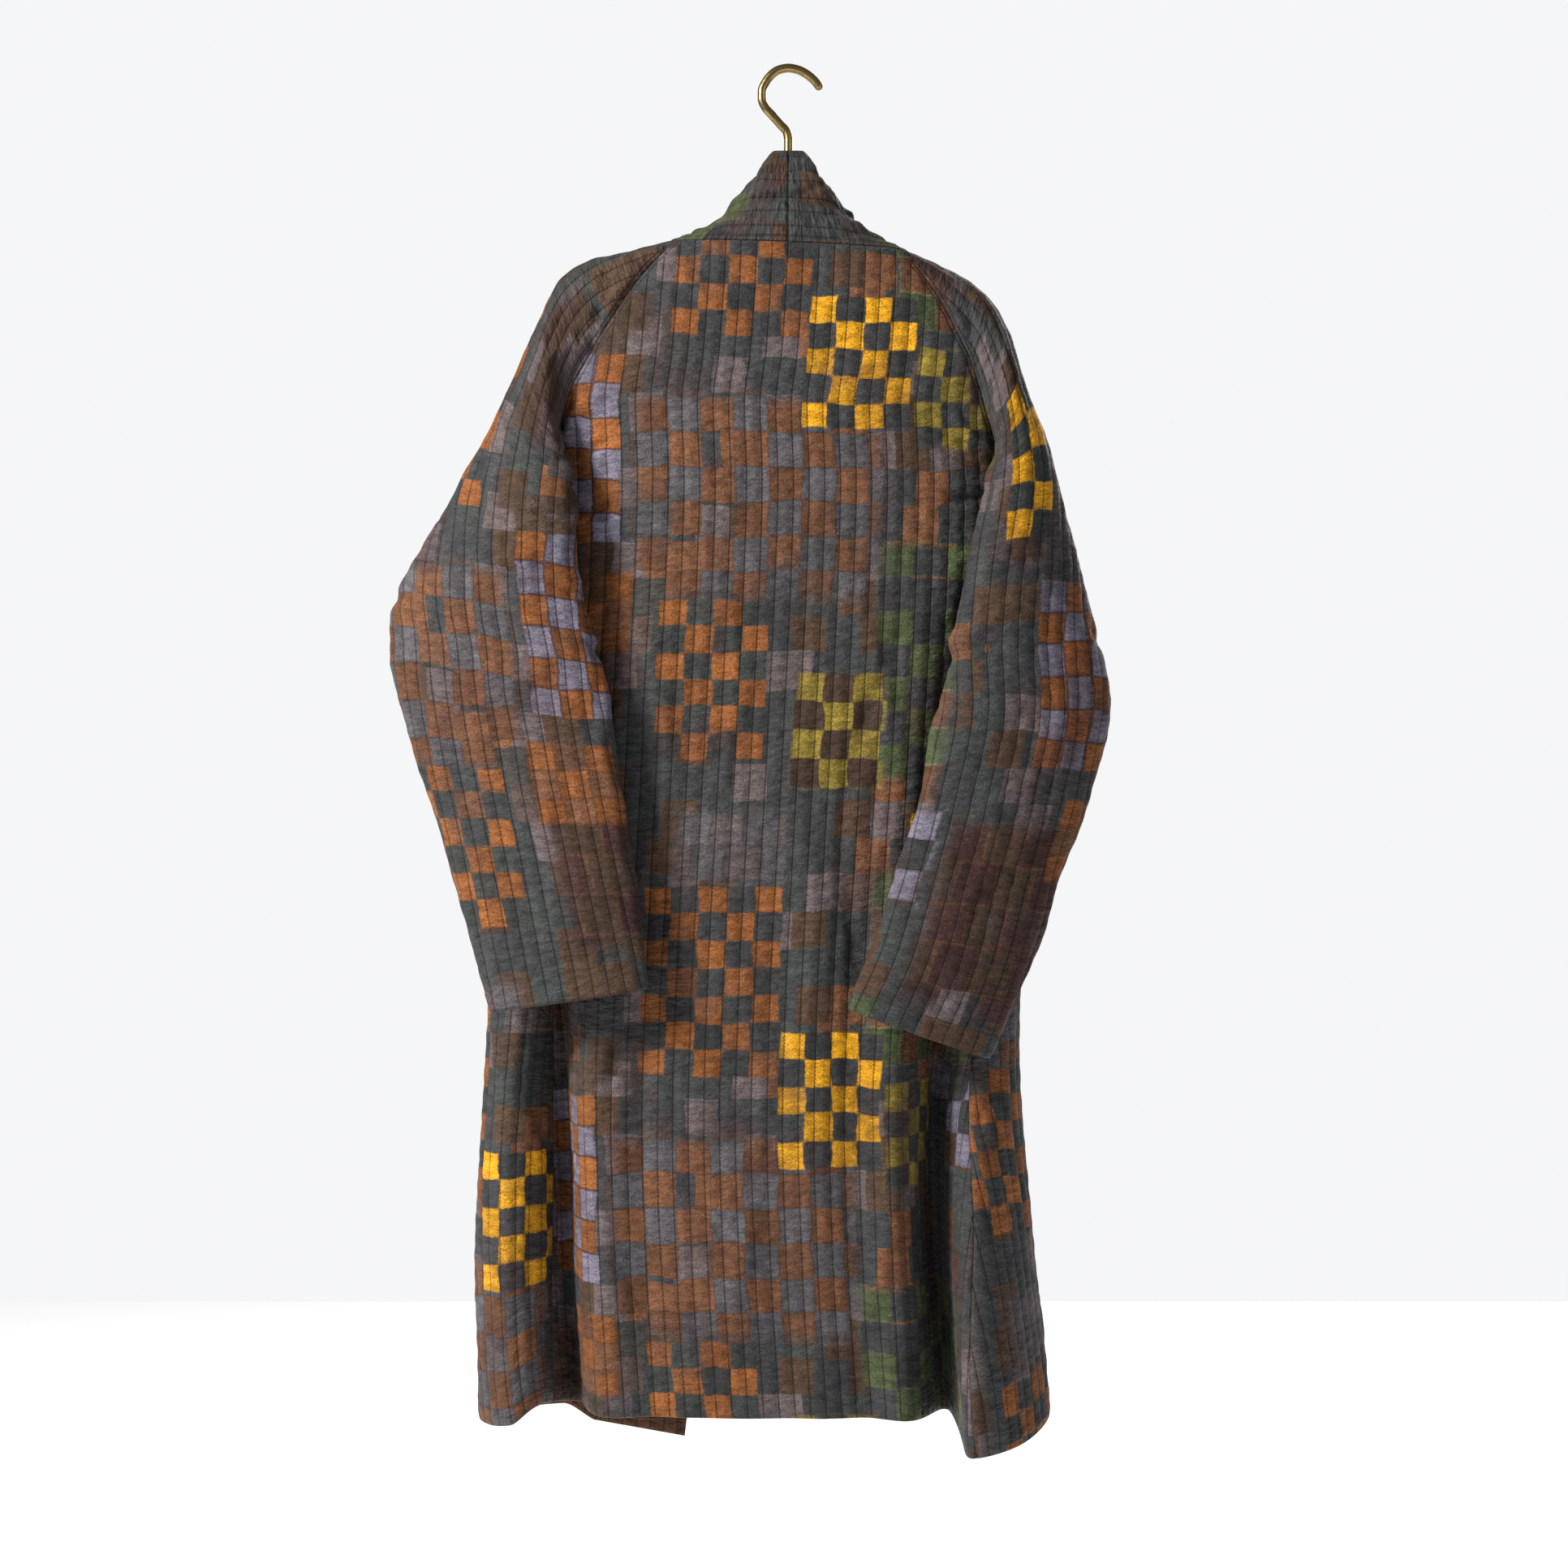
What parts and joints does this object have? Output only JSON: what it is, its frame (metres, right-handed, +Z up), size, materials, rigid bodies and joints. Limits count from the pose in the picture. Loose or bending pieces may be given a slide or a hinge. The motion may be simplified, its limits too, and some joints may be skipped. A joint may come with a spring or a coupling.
{
  "type": "quilted coat on hanger",
  "caption": "Long coat of channel-quilted cloth with raglan sleeves and a soft neck band that runs on down the open fronts, hanging from a hooked hanger.",
  "frame": {"origin": "inside the top of the hook, on the axis of the peg or rail that carries it", "axes": "+Z up, -Y the way the coat's back faces, +X towards the wearer's right sleeve"},
  "size_m": [0.6457, 0.1784, 1.2591],
  "materials": {
    "quilted_cloth": "soft printed cloth with a slight sheen",
    "beech": "satin",
    "brass": "polished, a little worn"
  },
  "bodies": {
    "root": {"back_panel": "quilted_cloth", "front_panel_left": "quilted_cloth", "front_panel_right": "quilted_cloth", "sleeve_left": "quilted_cloth", "sleeve_right": "quilted_cloth", "neck_band_left": "quilted_cloth", "neck_band_right": "quilted_cloth", "hanger_bar": "beech", "hanger_hook": "brass"}
  },
  "joints": []
}
